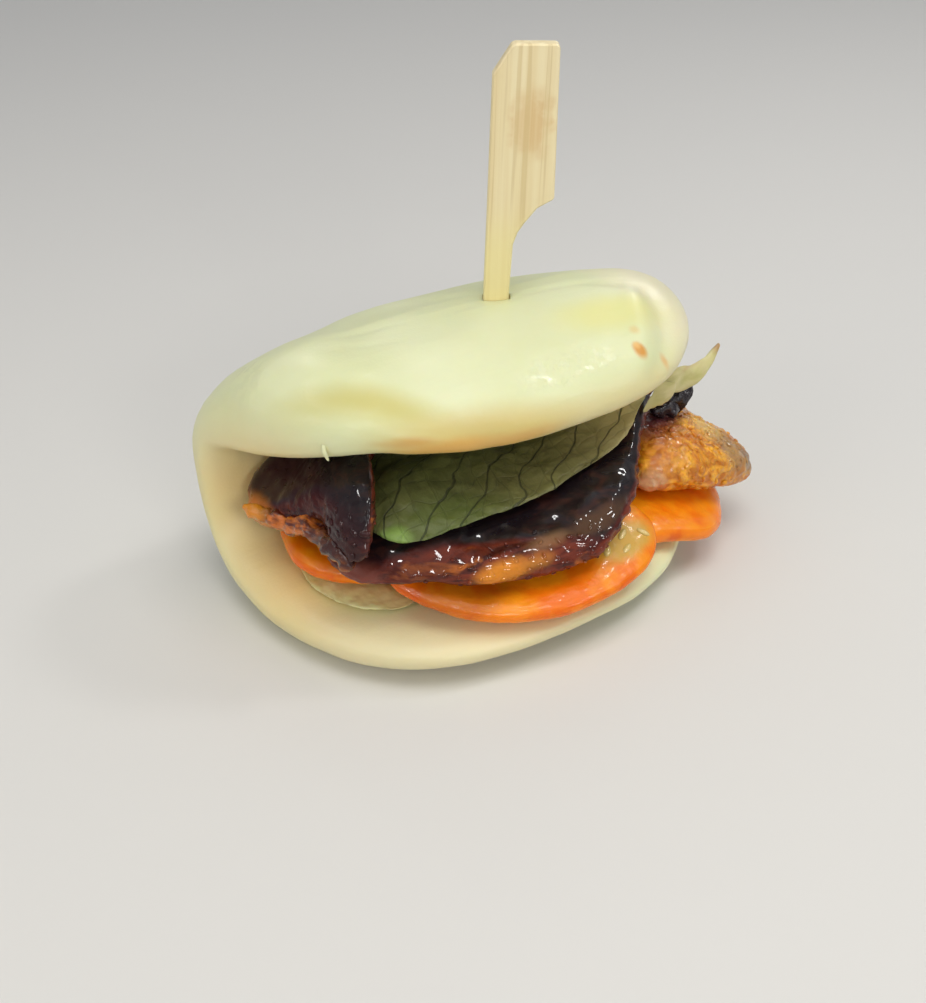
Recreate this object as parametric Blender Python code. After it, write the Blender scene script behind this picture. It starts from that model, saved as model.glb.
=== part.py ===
"""A filled bao bun: a steamed dough oval folded over tomato, roast pork and lettuce, with a bamboo pick.

Lengths are millimetres until a mesh is made.  X runs along the fold, the mouth faces -Y and
+Z is up.  The bun lies on its lower flap, on the plane z = 0.
"""
import math

import bmesh
import bpy
import numpy as np
from mathutils import Matrix, Vector
from mathutils.bvhtree import BVHTree

MM = 0.001

# --- bun -----------------------------------------------------------------------------------
BUN_LENGTH = 106.0         # along the fold
THICK_UPPER = 17.5         # dough at the middle of the upper flap
THICK_LOWER = 12.5
THICK_FOLD = 11.0
OUTER_SHARE = 0.58         # share of the thickness outside the middle surface
RIM_POWER = 5              # how squarely the dough's rim is rounded
FOLD_BOW_LEFT = 6.0        # how far the ends of the fold bend towards the mouth
FOLD_BOW_RIGHT = 3.0
RIGHT_REACH = 1.8          # how much further the right end reaches out
BACK_RISE = 3.0            # how much fuller the top is behind the pick
END_DROP = 0.01            # how much lower the bun is at its ends
LEAN = -0.025              # how much higher the right end is than the left
LIP_DROOP = 6.5            # how far the left end of the upper lip hangs down
LEFT_SWELL = 0.4           # how much thicker the dough is at its left end
# roundness of each quarter of the dough oval, 2 for an ellipse
OVAL_POWER = {"upper_left": 2.45, "lower_left": 2.75, "upper_right": 2.8, "lower_right": 2.2}
# middle line of the dough, from the lower lip round the fold to the upper lip, as (y, z)
LOWER_LINE = ((-36.0, 6.8), (-14.0, 6.2), (12.0, 6.6), (27.0, 12.0))
FOLD_CENTRE = (31.5, 25.0)
UPPER_LINE = ((28.0, 39.2), (12.0, 47.6), (-8.0, 49.2), (-26.0, 45.2))
CURVE_STEPS = 150          # samples between two points of the middle line
BUN_RINGS = 24
BUN_SEGMENTS = 56

# --- filling -------------------------------------------------------------------------------
# Slices in the order they are laid: name, colour, thickness, power that rounds the rim,
# stiffness as passes of smoothing, height of the lumps, and an outline whose first point is
# a centre from which the whole outline can be seen.
ORANGE, GOLD, GLAZE, DARK = (0.85, 0.16, 0.02), (0.50, 0.17, 0.03), (0.16, 0.03, 0.015), (0.05, 0.01, 0.01)
GREEN, PALE_GREEN = (0.05, 0.12, 0.03), (0.45, 0.52, 0.15)
SLICES = (
    ("leaf_under", PALE_GREEN, 1.3, 4, 40, 0.0,
     ((-30, -5), (-43, -3), (-41, 5), (-30, 8), (-20, 2), (-22, -14), (-31, -19), (-40, -12))),
    ("tomato_right", ORANGE, 5.6, 8, 150, 0.0,
     ((28, -14), (51, -10), (48, -20), (38, -29), (26, -28), (8, -26), (4, -12), (12, 2),
      (28, 8), (44, 3))),
    ("tomato_left", ORANGE, 5.6, 8, 120, 0.0,
     ((-26, 4), (-44, 8), (-44, -3), (-37, -12), (-24, -16), (-10, -8), (-8, 8), (-16, 19),
      (-30, 22), (-40, 17))),
    ("tomato_front", ORANGE, 5.4, 8, 150, 0.0,
     ((-8, -20), (22, -28), (18, -36), (2, -39), (-15, -36), (-29, -27), (-35, -17), (-30, -8),
      (-16, -4), (0, -6), (16, -14))),
    ("pork_right", GOLD, 10.5, 5, 200, 0.7,
     ((41, -8), (58.5, -17), (50.5, -22.5), (42, -23.5), (34, -23), (25, -19), (27, -4),
      (36, 10), (46, 13), (56, 6), (58, -6))),
    ("pork_front", GLAZE, 7.0, 9, 60, 0.5,
     ((0, -9), (47, 2), (35, -10), (25, -20), (16, -30), (4, -36), (-13, -34), (-28, -28),
      (-41, -18), (-41, -4), (-30, 8), (-8, 16), (16, 18), (36, 12))),
    ("lettuce", GREEN, 1.5, 4, 60, 0.4,
     ((0, -5), (46, -1), (36, -10), (20, -20), (4, -24), (-11, -24.6), (-28, -24.8), (-36, -21),
      (-34, 6), (-22, 17), (0, 19), (22, 20), (40, 12))),
    ("pork_left", DARK, 7.5, 9, 90, 0.5,
     ((-33, 2), (-19, 10), (-25, 1), (-31, -10), (-36, -21), (-40, -25), (-43, -20), (-42, -10),
      (-44, 0), (-48, 8), (-48, 14), (-43, 20), (-27, 22), (-18, 19))),
)
SLICE_RINGS = 7
SLICE_SEGMENTS = 34
LUMP_WAVE = 11.0           # distance from one lump to the next
GAP = 0.6                  # air aimed at between a slice and what it lies on
LEAST_GAP = 0.45
LIFT_TRIES = 12
LIFT_REACH = 5             # map cells around a touching point that are lifted with it
MAP_STEP = 1.0             # spacing of the height map of the pile
MAP_XS = np.arange(-64.0, 65.0, MAP_STEP)
MAP_YS = np.arange(-50.0, 35.0, MAP_STEP)
INSIDE_Z = 26.0            # a height between the two flaps

# --- leaf tip that curls out of the right end: x, y, z, half width ------------------------
TIP_LINE = ((36, -11, 38.0, 1.6), (39.5, -11, 37.2, 2.6), (43, -10, 36.2, 2.9),
            (47, -9, 35.6, 2.3), (52, -7.3, 36.2, 1.4), (55.5, -5.5, 37.2, 0.9),
            (57.5, -4.5, 38.0, 0.4))
TIP_FACING = (0.5, 0.8, -0.3)
TIP_HALF_THICK = 0.6
TIP_SEGMENTS = 10

# --- pick: outlines (u, z) in an upright plane ---------------------------------------------
PICK_FOOT = (8.4, 7.2)   # where u is 0
PICK_ACROSS = (0.866, -0.5)
PICK_THICK = 3.0
PICK_BEVEL = 0.3
PICK_OUTLINE = ((-3.9, 3.2), (-1.6, 9.0), (2.3, 58.9), (3.3, 69.3), (4.3, 71.8), (5.6, 73.6),
                (8.2, 76.6), (11.5, 78.3), (12.8, 107.4), (12.3, 107.9), (4.4, 108.3),
                (3.8, 107.9), (0.2, 102.8), (-1.9, 71.6), (-2.9, 57.2), (-6.0, 9.0))
SLOT_OUTLINE = ((-4.6, 2.5), (-3.2, 2.5), (-1.2, 8.8), (3.2, 62.0), (-2.9, 62.0), (-6.4, 8.8))
SLOT_THICK = 3.8
SHARP = 0.6                # edges that turn by more than this are bevelled, in radians


def spline(points, steps):
    """Catmull-Rom pieces between each pair of points but the first and the last."""
    t = np.linspace(0, 1, steps, endpoint=False)[:, None]
    runs = []
    for a, b, c, d in zip(points, points[1:], points[2:], points[3:]):
        runs.append(0.5 * (2 * b + (c - a) * t + (2 * a - 5 * b + 4 * c - d) * t ** 2
                           + (3 * b - a - 3 * c + d) * t ** 3))
    return np.vstack(runs)


def open_curve(points, steps):
    pts = np.array(points, float)
    pts = np.vstack([2 * pts[0] - pts[1], pts, 2 * pts[-1] - pts[-2]])
    return np.vstack([spline(pts, steps), pts[-2]])


def closed_curve(points, steps):
    pts = np.array(points, float)
    return spline(np.vstack([pts[-1], pts, pts[:2]]), steps)


PROFILE = open_curve((*LOWER_LINE, FOLD_CENTRE, *UPPER_LINE), CURVE_STEPS)
ALONG = np.concatenate([[0], np.cumsum(np.linalg.norm(np.diff(PROFILE, axis=0), axis=1))])
LOWER_REACH = ALONG[CURVE_STEPS * len(LOWER_LINE)]
UPPER_REACH = ALONG[-1] - LOWER_REACH


def ease(t):
    """Rises smoothly from 0 to 1 as t does."""
    t = min(max(t, 0.0), 1.0)
    return t * t * (3 - 2 * t)


def dough_middle(p, q):
    """The middle surface of the dough: p along the fold, q across it, up positive."""
    y = np.interp(q + LOWER_REACH, ALONG, PROFILE[:, 0])
    z = np.interp(q + LOWER_REACH, ALONG, PROFILE[:, 1])
    e = p / (BUN_LENGTH / 2)
    share = q / UPPER_REACH
    droop = LIP_DROOP * ease((-e - 0.55) / 0.45) * ease(share / 0.6)
    rise = BACK_RISE * ease((0.7 - abs(e)) / 0.45) * ease(4 * share) * ease((0.55 - share) / 0.3)
    bow, reach = (FOLD_BOW_LEFT, 0) if e < 0 else (FOLD_BOW_RIGHT, RIGHT_REACH)
    return np.array([p + reach * e * e, y - bow * e * e,
                     z * (1 - END_DROP * e * e * (z / 30) + LEAN * e) - droop + rise])


def dough_normal(p, q, step=1.2):
    """The unit normal of the middle surface, pointing out of the bun."""
    dp = dough_middle(p + step, q) - dough_middle(p - step, q)
    dq = dough_middle(p, q + step) - dough_middle(p, q - step)
    n = np.cross(dq, dp)
    return n / np.linalg.norm(n)


def dough_thickness(p, q, rho):
    """Full thickness at p and q, rounded off towards the rim at rho = 1."""
    flap, reach = (THICK_UPPER, UPPER_REACH) if q > 0 else (THICK_LOWER, LOWER_REACH)
    share = min(abs(q) / reach, 1)
    blend = min(1, 2 * share * share * (3 - 2 * share))
    swell = 1 + LEFT_SWELL * ease((-2 * p / BUN_LENGTH - 0.4) / 0.5)
    return ((THICK_FOLD + (flap - THICK_FOLD) * blend) * swell
            * math.sqrt(max(0, 1 - rho ** RIM_POWER)))


def ring_shares(rings):
    """Ring radii from 0 to 1, closer together near the rim."""
    even = np.arange(rings + 1) / rings
    return 0.25 * even + 0.75 * np.sin(math.pi / 2 * even)


def shell_faces(rings, segments):
    """Triangles of two polar grids, one above the other, that share their rim ring."""
    def index(side, ring, seg):
        if ring == 0:
            return side
        if ring == rings:
            return 2 + 2 * (rings - 1) * segments + seg % segments
        return 2 + (side * (rings - 1) + ring - 1) * segments + seg % segments
    faces = []
    for seg in range(segments):
        for side in (0, 1):
            ring_faces = [(side, index(side, 1, seg), index(side, 1, seg + 1))]
            for ring in range(1, rings):
                a, b = index(side, ring, seg), index(side, ring + 1, seg)
                c, d = index(side, ring + 1, seg + 1), index(side, ring, seg + 1)
                ring_faces += [(a, b, c), (a, c, d)]
            faces += [face[::-1] if side else face for face in ring_faces]
    return faces


def shell_vertices(top, bottom, rim):
    """Vertices in the order that shell_faces expects."""
    return [top[0], bottom[0], *top[1:], *bottom[1:], *rim]


def bun_vertices():
    outer, inner, rim = [], [], []
    for ring, rho in enumerate(ring_shares(BUN_RINGS)):
        for seg in range(BUN_SEGMENTS if ring else 1):
            phi = 2 * math.pi * seg / BUN_SEGMENTS
            c, s = math.cos(phi), math.sin(phi)
            power = OVAL_POWER[("upper" if s > 0 else "lower") + ("_left" if c < 0 else "_right")]
            grow = rho * (abs(c) ** power + abs(s) ** power) ** (-1 / power)
            p, q = BUN_LENGTH / 2 * grow * c, (UPPER_REACH if s > 0 else LOWER_REACH) * grow * s
            middle, normal = dough_middle(p, q), dough_normal(p, q)
            full = dough_thickness(p, q, rho)
            if ring == BUN_RINGS:
                rim.append(middle)
            else:
                outer.append(middle + normal * full * OUTER_SHARE)
                inner.append(middle - normal * full * (1 - OUTER_SHARE))
    return [(x, y, max(z, 0.0)) for x, y, z in shell_vertices(inner, outer, rim)]


def heights(vertices, faces, start, direction, cells):
    """Where vertical rays from height start enter a mesh, or nan, at chosen cells of the map."""
    tree = BVHTree.FromPolygons([Vector(v) for v in vertices], faces)
    grid = np.full(cells.shape, np.nan)
    for j, i in np.argwhere(cells):
        point, normal, _, _ = tree.ray_cast(Vector((MAP_XS[i], MAP_YS[j], start)),
                                            Vector((0, 0, direction)))
        if point is not None and normal.z * direction < 0:
            grid[j, i] = point.z
    return grid


def sample(grid, x, y):
    """Bilinear value of a height map."""
    u = np.clip((x - MAP_XS[0]) / MAP_STEP, 0, len(MAP_XS) - 1.001)
    v = np.clip((y - MAP_YS[0]) / MAP_STEP, 0, len(MAP_YS) - 1.001)
    i, j = int(u), int(v)
    fu, fv = u - i, v - j
    return ((grid[j, i] * (1 - fu) + grid[j, i + 1] * fu) * (1 - fv)
            + (grid[j + 1, i] * (1 - fu) + grid[j + 1, i + 1] * fu) * fv)


def neighbours(grid, pick):
    """The largest, sum or other pick of each cell and its eight neighbours."""
    padded = np.pad(grid, 1, mode="edge")
    rows, cols = grid.shape
    return pick([padded[j:j + rows, i:i + cols] for j in range(3) for i in range(3)], axis=0)


def drape(pile, inside, passes):
    """The underside of a sheet that rests on the pile, stiffer with more passes."""
    under = neighbours(pile, np.max) + GAP
    inside = neighbours(neighbours(inside.astype(float), np.max), np.max)
    weight = np.maximum(neighbours(inside, np.sum), 1)
    sheet = under
    for _ in range(passes):
        mean = neighbours(inside * sheet, np.sum) / weight
        sheet = np.where(inside > 0, np.maximum(under, mean), under)
    return sheet


def lump(x, y):
    """A gentle unevenness between -1 and 1."""
    k = 2 * math.pi / LUMP_WAVE
    return (0.40 * math.sin(k * x + 1.3) * math.cos(k * y)
            + 0.35 * math.sin(k * (0.6 * x + 1.1 * y))
            + 0.25 * math.cos(k * (1.4 * x - 0.7 * y) + 2.0))


def slice_vertices(centre, edge, base, thick, rim_power, lumps):
    """The vertices of a slice whose underside lies on the base map."""
    top, bottom, rim = [], [], []
    for ring, rho in enumerate(ring_shares(SLICE_RINGS)):
        half = thick / 2 * math.sqrt(max(0, 1 - rho ** rim_power))
        for seg in range(SLICE_SEGMENTS if ring else 1):
            angle = 2 * math.pi * seg / SLICE_SEGMENTS
            r = rho * edge(angle)
            x, y = centre[0] + r * math.cos(angle), centre[1] + r * math.sin(angle)
            middle = sample(base, x, y) + thick / 2
            if ring == SLICE_RINGS:
                rim.append((x, y, middle))
            else:
                top.append((x, y, middle + half + lumps * (1 - rho ** 2) * (1 + lump(x, y))))
                bottom.append((x, y, middle - half))
    return shell_vertices(top, bottom, rim)


def lay_slice(pile, thick, rim_power, passes, lumps, points):
    """Lays a slice on the pile, and returns its vertices and the higher pile."""
    centre, *outline = points
    curve = closed_curve(outline, 24) - centre
    angles, radii = np.arctan2(curve[:, 1], curve[:, 0]), np.hypot(curve[:, 0], curve[:, 1])

    def edge(angle):
        return np.interp(angle, angles, radii, period=2 * math.pi)

    dx, dy = np.meshgrid(MAP_XS - centre[0], MAP_YS - centre[1])
    inside = np.hypot(dx, dy) < edge(np.arctan2(dy, dx))
    base = drape(pile, inside, passes)
    faces = shell_faces(SLICE_RINGS, SLICE_SEGMENTS)
    for _ in range(LIFT_TRIES):
        vertices = slice_vertices(centre, edge, base, thick, rim_power, lumps)
        underside = heights(vertices, faces, -5.0, 1, inside)
        lack = np.nan_to_num(np.maximum(pile + LEAST_GAP - underside, 0))
        if lack.max() < 0.01:
            break
        for _ in range(LIFT_REACH):
            lack = neighbours(lack, np.max)
        base = base + lack
    return vertices, np.fmax(pile, heights(vertices, faces, 90.0, -1, inside))


def add_solid(name, vertices, faces, colour, roughness):
    """Makes a named object from a closed shell, with a material of its own."""
    mesh = bpy.data.meshes.new(name)
    mesh.from_pydata([tuple(c * MM for c in v) for v in vertices], [], faces)
    work = bmesh.new()
    work.from_mesh(mesh)
    bmesh.ops.recalc_face_normals(work, faces=work.faces)
    work.to_mesh(mesh)
    work.free()
    obj = bpy.data.objects.new(name, mesh)
    bpy.context.scene.collection.objects.link(obj)
    material = bpy.data.materials.new(name)
    material.use_nodes = True
    shader = material.node_tree.nodes["Principled BSDF"]
    shader.inputs["Base Color"].default_value = (*colour, 1)
    shader.inputs["Roughness"].default_value = roughness
    mesh.materials.append(material)
    mesh.shade_smooth()
    return obj


def add_tip():
    """A narrow leaf swept along TIP_LINE, tapering to its tip."""
    line = open_curve(TIP_LINE, 4)
    rows = len(line)
    vertices, faces = [], []
    for k, (x, y, z, half) in enumerate(line):
        along = Vector((line[min(k + 1, rows - 1)] - line[max(k - 1, 0)])[:3]).normalized()
        across = along.cross(Vector(TIP_FACING)).normalized()
        out = along.cross(across)
        for seg in range(TIP_SEGMENTS):
            phi = 2 * math.pi * seg / TIP_SEGMENTS
            vertices.append(Vector((x, y, z)) + across * half * math.cos(phi)
                            + out * min(TIP_HALF_THICK, half) * math.sin(phi))
    for k in range(rows - 1):
        for seg in range(TIP_SEGMENTS):
            a, b = k * TIP_SEGMENTS + seg, k * TIP_SEGMENTS + (seg + 1) % TIP_SEGMENTS
            faces.append((a, b, b + TIP_SEGMENTS, a + TIP_SEGMENTS))
    faces.append(tuple(range(TIP_SEGMENTS)))
    faces.append(tuple(range((rows - 1) * TIP_SEGMENTS, rows * TIP_SEGMENTS)))
    return add_solid("leaf_tip", vertices, faces, PALE_GREEN, 0.4)


def add_upright(name, outline, thick, colour):
    """An outline (u, z) in the pick's plane, thickened both ways."""
    ux, uy = PICK_ACROSS
    vertices = []
    for side in (-thick / 2, thick / 2):
        vertices += [(PICK_FOOT[0] + u * ux - side * uy, PICK_FOOT[1] + u * uy + side * ux, z)
                     for u, z in outline]
    count = len(outline)
    faces = [tuple(range(count)), tuple(range(count, 2 * count))]
    faces += [(k, (k + 1) % count, (k + 1) % count + count, k + count) for k in range(count)]
    return add_solid(name, vertices, faces, colour, 0.5)


def bevel_sharp(obj, width):
    work = bmesh.new()
    work.from_mesh(obj.data)
    sharp = [e for e in work.edges if e.calc_face_angle(0) > SHARP]
    bmesh.ops.bevel(work, geom=sharp, offset=width * MM, segments=1, affect="EDGES")
    work.to_mesh(obj.data)
    work.free()


def cut(obj, cutter):
    modifier = obj.modifiers.new("slot", "BOOLEAN")
    modifier.operation = "DIFFERENCE"
    modifier.solver = "EXACT"
    modifier.object = cutter


def centre_all(objects):
    """Moves everything so that the whole's box stands centred on the origin."""
    points = np.array([v.co for obj in objects for v in obj.data.vertices])
    low, high = points.min(axis=0), points.max(axis=0)
    middle = (low + high) / 2
    for obj in bpy.data.objects:
        obj.data.transform(Matrix.Translation((-middle[0], -middle[1], -low[2])))


def main():
    for obj in list(bpy.data.objects):
        bpy.data.objects.remove(obj)
    vertices, faces = bun_vertices(), shell_faces(BUN_RINGS, BUN_SEGMENTS)
    pieces = {"bun": add_solid("bun", vertices, faces, (0.80, 0.76, 0.50), 0.5)}
    everywhere = np.ones((len(MAP_YS), len(MAP_XS)), bool)
    pile = np.nan_to_num(heights(vertices, faces, INSIDE_Z, -1, everywhere))
    faces = shell_faces(SLICE_RINGS, SLICE_SEGMENTS)
    for name, colour, *shape in SLICES:
        vertices, pile = lay_slice(pile, *shape)
        pieces[name] = add_solid(name, vertices, faces, colour, 0.3)
    pieces["leaf_tip"] = add_tip()
    pieces["pick"] = add_upright("pick", PICK_OUTLINE, PICK_THICK, (0.75, 0.60, 0.30))
    bevel_sharp(pieces["pick"], PICK_BEVEL)
    slot = add_upright("slot_cutter", SLOT_OUTLINE, SLOT_THICK, (0.5, 0.5, 0.5))
    slot.hide_render = True
    slot.display_type = "WIRE"
    for name in ("bun", "pork_front", "lettuce"):
        cut(pieces[name], slot)
    centre_all(pieces.values())


main()
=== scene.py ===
# %% [markdown]
# # A filled steamed bun
# A pale oval of steamed dough is folded over slices of tomato, glazed pork and a lettuce leaf,
# and a bamboo pick holds it shut.  The frame that is loaded first gives each solid at its
# real place, in metres: X runs along the fold and the mouth faces -Y.  Every piece that
# follows is made where its solid is, takes over its form, and adds the finer shape and the
# finish that food has.

# %% Load the frame
import math

import bmesh
import bpy
import numpy as np
from mathutils import Matrix, Vector, noise


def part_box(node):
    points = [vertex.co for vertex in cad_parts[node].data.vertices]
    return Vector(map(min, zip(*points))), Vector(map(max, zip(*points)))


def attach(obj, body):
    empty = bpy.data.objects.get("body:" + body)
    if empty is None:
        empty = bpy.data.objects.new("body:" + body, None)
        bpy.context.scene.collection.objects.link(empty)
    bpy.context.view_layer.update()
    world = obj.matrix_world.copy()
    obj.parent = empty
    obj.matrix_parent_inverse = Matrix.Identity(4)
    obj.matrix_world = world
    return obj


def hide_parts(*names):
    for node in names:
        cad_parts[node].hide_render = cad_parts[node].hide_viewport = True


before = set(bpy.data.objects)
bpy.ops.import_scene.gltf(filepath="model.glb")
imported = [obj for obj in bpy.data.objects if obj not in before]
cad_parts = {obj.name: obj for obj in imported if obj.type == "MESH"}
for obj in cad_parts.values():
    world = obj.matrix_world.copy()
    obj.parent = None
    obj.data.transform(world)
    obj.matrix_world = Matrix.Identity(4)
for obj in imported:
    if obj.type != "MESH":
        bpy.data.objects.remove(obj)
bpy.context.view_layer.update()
MM = 0.001
print("solids:", sorted(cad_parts))

# %% [markdown]
# ## Camera, floor and light
# Food is seen from a little above, from its open side.  Four soft boxes wrap the pale dough
# and reach under its flap, and a pale world fills the shadows.  The boxes are hidden from
# reflections, where anything so large would lie on the glaze as a grey sheet.  The wet points
# of light come from many small lamps that only show in the gloss.  Area lights suit both jobs
# better than a sun or points, because their size decides how soft each shadow and gleam is.

# %% Camera
def make_camera(place, turns, lens):
    """A camera at a place in millimetres; turns are heading, tilt and roll in degrees."""
    camera = bpy.data.objects.new("camera", bpy.data.cameras.new("camera"))
    bpy.context.scene.collection.objects.link(camera)
    turn = (Matrix.Rotation(math.radians(turns[0]), 4, "Z")
            @ Matrix.Rotation(math.radians(turns[1]), 4, "X")
            @ Matrix.Rotation(math.radians(turns[2]), 4, "Z"))
    camera.matrix_world = Matrix.Translation(Vector(place) * MM) @ turn
    camera.data.lens = lens
    camera.data.sensor_width = 36
    camera.data.clip_start = 0.01
    bpy.context.scene.camera = camera
    return camera


camera = make_camera((-137.44, -222.24, 177.3), (-30, 58.2, -2.5), 52.04)
print("camera at", [round(c, 3) for c in camera.location])

# %% Light
MIDDLE_OF_BUN = (0, 0, 0.03)
GLEAM_DISTANCE, GLEAM_SIZE, GLEAM_POWER = 0.7, (0.06, 0.04), 0.35


def soft_box(name, place, size, power, colour):
    """A rectangular lamp that faces the middle of the bun, all in metres and watts."""
    light = bpy.data.lights.new(name, "AREA")
    light.shape = "RECTANGLE"
    light.size, light.size_y = size
    light.energy = power
    light.color = colour
    obj = bpy.data.objects.new(name, light)
    bpy.context.scene.collection.objects.link(obj)
    obj.location = place
    away = Vector(place) - Vector(MIDDLE_OF_BUN)
    obj.rotation_euler = away.to_track_quat("Z", "Y").to_euler()
    return obj


for name, place, size, power, colour in (
        ("overhead", (0.0, -0.22, 0.75), (0.5, 0.4), 2.5, (1, 0.97, 0.9)),
        ("left_fill", (-0.7, -0.1, 0.35), (0.4, 0.4), 0.9, (1, 0.93, 0.8)),
        ("right_fill", (0.42, -0.14, 0.58), (0.1, 0.1), 0.6, (1, 0.98, 0.95)),
        ("front_fill", (-0.12, -0.65, 0.34), (0.2, 0.1), 1.0, (1, 0.97, 0.92))):
    soft_box(name, place, size, power, colour).visible_glossy = False

# Height and heading in degrees: a wide spiral all round, then a row in front of the mouth.
all_round = [(22 + 58 * turn / 13, -100 + 137.5 * turn) for turn in range(14)]
in_front = [(30, -150), (46, -132), (28, -108), (48, -88), (30, -66), (46, -44), (53, -18)]
for number, angles in enumerate(all_round + in_front):
    height, heading = (math.radians(angle) for angle in angles)
    level = GLEAM_DISTANCE * math.cos(height)
    place = (level * math.cos(heading), level * math.sin(heading),
             GLEAM_DISTANCE * math.sin(height))
    gleam = soft_box(f"gleam_{number}", place, GLEAM_SIZE, GLEAM_POWER, (1, 0.99, 0.97))
    gleam.visible_diffuse = False

bpy.context.scene.view_settings.view_transform = "Standard"
world = bpy.data.worlds.new("pale_room")
bpy.context.scene.world = world
world.use_nodes = True
sky = world.node_tree.nodes["Background"].inputs
sky["Color"].default_value = (0.9, 0.92, 0.95, 1)
sky["Strength"].default_value = 0.42
print("lights:", len(bpy.data.lights))

# %% [markdown]
# ## Small tools
# Materials and Geometry Nodes trees are both drawn as nodes and links.  One short helper
# adds a node and fills its inputs with numbers or with other nodes' outputs, so every recipe
# below reads from top to bottom like a list of steps.

# %% Node helpers
def feed(tree, socket, value):
    """Fills a socket with a value, or with the output of another node."""
    if isinstance(value, bpy.types.NodeSocket):
        tree.links.new(value, socket)
    else:
        socket.default_value = value


def put(tree, kind, inputs=None, **settings):
    """Adds a node."""
    node = tree.nodes.new(kind)
    for key, value in settings.items():
        setattr(node, key, value)
    for key, value in (inputs or {}).items():
        feed(tree, node.inputs[key], value)
    return node


def step(tree, kind, inputs=None, **settings):
    """Adds a node and hands on its first output."""
    return put(tree, kind, inputs, **settings).outputs[0]


def maths(tree, operation, a, b=0.0):
    return step(tree, "ShaderNodeMath", {0: a, 1: b}, operation=operation)


def times(tree, a, b):
    return maths(tree, "MULTIPLY", a, b)


def vector_maths(tree, operation, a, b):
    """Maths on vectors; b is a number when the operation is SCALE."""
    second = "Scale" if operation == "SCALE" else 1
    return step(tree, "ShaderNodeVectorMath", {0: a, second: b}, operation=operation)


def length(tree, vector):
    return put(tree, "ShaderNodeVectorMath", {0: vector}, operation="LENGTH").outputs["Value"]


def on_piece(tree):
    """Places that stay with the piece."""
    return put(tree, "ShaderNodeTexCoord").outputs["Object"]


def mottle(tree, scale, detail, output="Fac"):
    """Cloudy noise; a larger scale makes it finer."""
    return put(tree, "ShaderNodeTexNoise", {"Vector": on_piece(tree), "Scale": scale,
               "Detail": detail}).outputs[output]


def spread(tree, value, low, high, start=0.0, end=1.0):
    """Maps low..high softly to start..end."""
    return step(tree, "ShaderNodeMapRange", {
        "Value": value, "From Min": low, "From Max": high, "To Min": start, "To Max": end},
        interpolation_type="SMOOTHSTEP")


def blend(tree, share, under, over):
    """The colour under, covered by the colour over as much as share says."""
    node = put(tree, "ShaderNodeMix", {"Factor": share}, data_type="RGBA")
    for index, value in ((6, under), (7, over)):
        feed(tree, node.inputs[index], (*value, 1) if isinstance(value, tuple) else value)
    return node.outputs[2]


def new_group(name, kind, sockets_in, sockets_out):
    """A node group with named sockets: (name, type) or (name, type, default)."""
    group = bpy.data.node_groups.new(name, kind)
    for direction, sockets in (("INPUT", sockets_in), ("OUTPUT", sockets_out)):
        for title, socket_type, *default in sockets:
            socket = group.interface.new_socket(title, in_out=direction,
                                                socket_type="NodeSocket" + socket_type)
            if default:
                socket.default_value = default[0]
    entry = group.nodes.new("NodeGroupInput")
    leave = group.nodes.new("NodeGroupOutput")
    return group, entry.outputs, leave.inputs


def new_finish(name):
    finish = bpy.data.materials.new(name)
    finish.use_nodes = True
    tree = finish.node_tree
    return finish, tree, tree.nodes["Principled BSDF"]


def fill(tree, shader, **values):
    """Fills the shader's inputs, written with _ for a space."""
    for key, value in values.items():
        feed(tree, shader.inputs[key.replace("_", " ")], value)


def glow(shader, weight, radius, scale):
    """Light that sinks into soft food; radius says how far its red, green and blue go."""
    fill(None, shader, Subsurface_Weight=weight, Subsurface_Radius=radius,
         Subsurface_Scale=scale)


def dress(piece, finish):
    """Gives a piece one finish all over."""
    piece.data.materials.clear()
    piece.data.materials.append(finish)


def bump(tree, height, distance, below=None):
    """A bump of a height in millimetres, laid over the bump below."""
    inputs = {"Height": height, "Distance": distance * MM, "Strength": 1.0}
    return step(tree, "ShaderNodeBump", inputs if below is None else {**inputs, "Normal": below})

# %% Mesh helpers
MERGE_DISTANCE = 2e-6
FLAT_ENOUGH, SQUARE_ENOUGH = 0.9, 1.4


def new_piece(name, mesh):
    piece = bpy.data.objects.new(name, mesh)
    bpy.context.scene.collection.objects.link(piece)
    mesh.shade_smooth()
    return piece


def mend(mesh, merge=False):
    """Points all faces outwards; merge first joins loose triangles up, as quads where it can."""
    work = bmesh.new()
    work.from_mesh(mesh)
    if merge:
        bmesh.ops.remove_doubles(work, verts=work.verts, dist=MERGE_DISTANCE)
        bmesh.ops.join_triangles(work, faces=work.faces, angle_face_threshold=FLAT_ENOUGH,
                                 angle_shape_threshold=SQUARE_ENOUGH, cmp_seam=False)
    bmesh.ops.recalc_face_normals(work, faces=work.faces)
    work.to_mesh(mesh)
    work.free()
    return mesh


def mesh_from(name, vertices, faces):
    """A closed mesh from vertices in millimetres."""
    mesh = bpy.data.meshes.new(name)
    mesh.from_pydata([tuple(c * MM for c in v) for v in vertices], [], faces)
    return mend(mesh)


def merged_copy(node):
    """The mesh of a solid, without its finish."""
    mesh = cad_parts[node].data.copy()
    mesh.materials.clear()
    return mend(mesh, merge=True)


def settle(piece):
    """Turns a piece with modifiers into a plain mesh."""
    ready = piece.evaluated_get(bpy.context.evaluated_depsgraph_get())
    mesh = bpy.data.meshes.new_from_object(ready)
    piece.modifiers.clear()
    piece.data = mesh


def run_tree(piece, tree, values):
    """Runs a Geometry Nodes tree over a piece and keeps the mesh that comes out."""
    work = piece.modifiers.new(tree.name, "NODES")
    work.node_group = tree
    names = {item.name: item.identifier for item in tree.interface.items_tree
             if item.in_out == "INPUT"}
    for key, value in values.items():
        work[names[key]] = value
    settle(piece)


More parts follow.
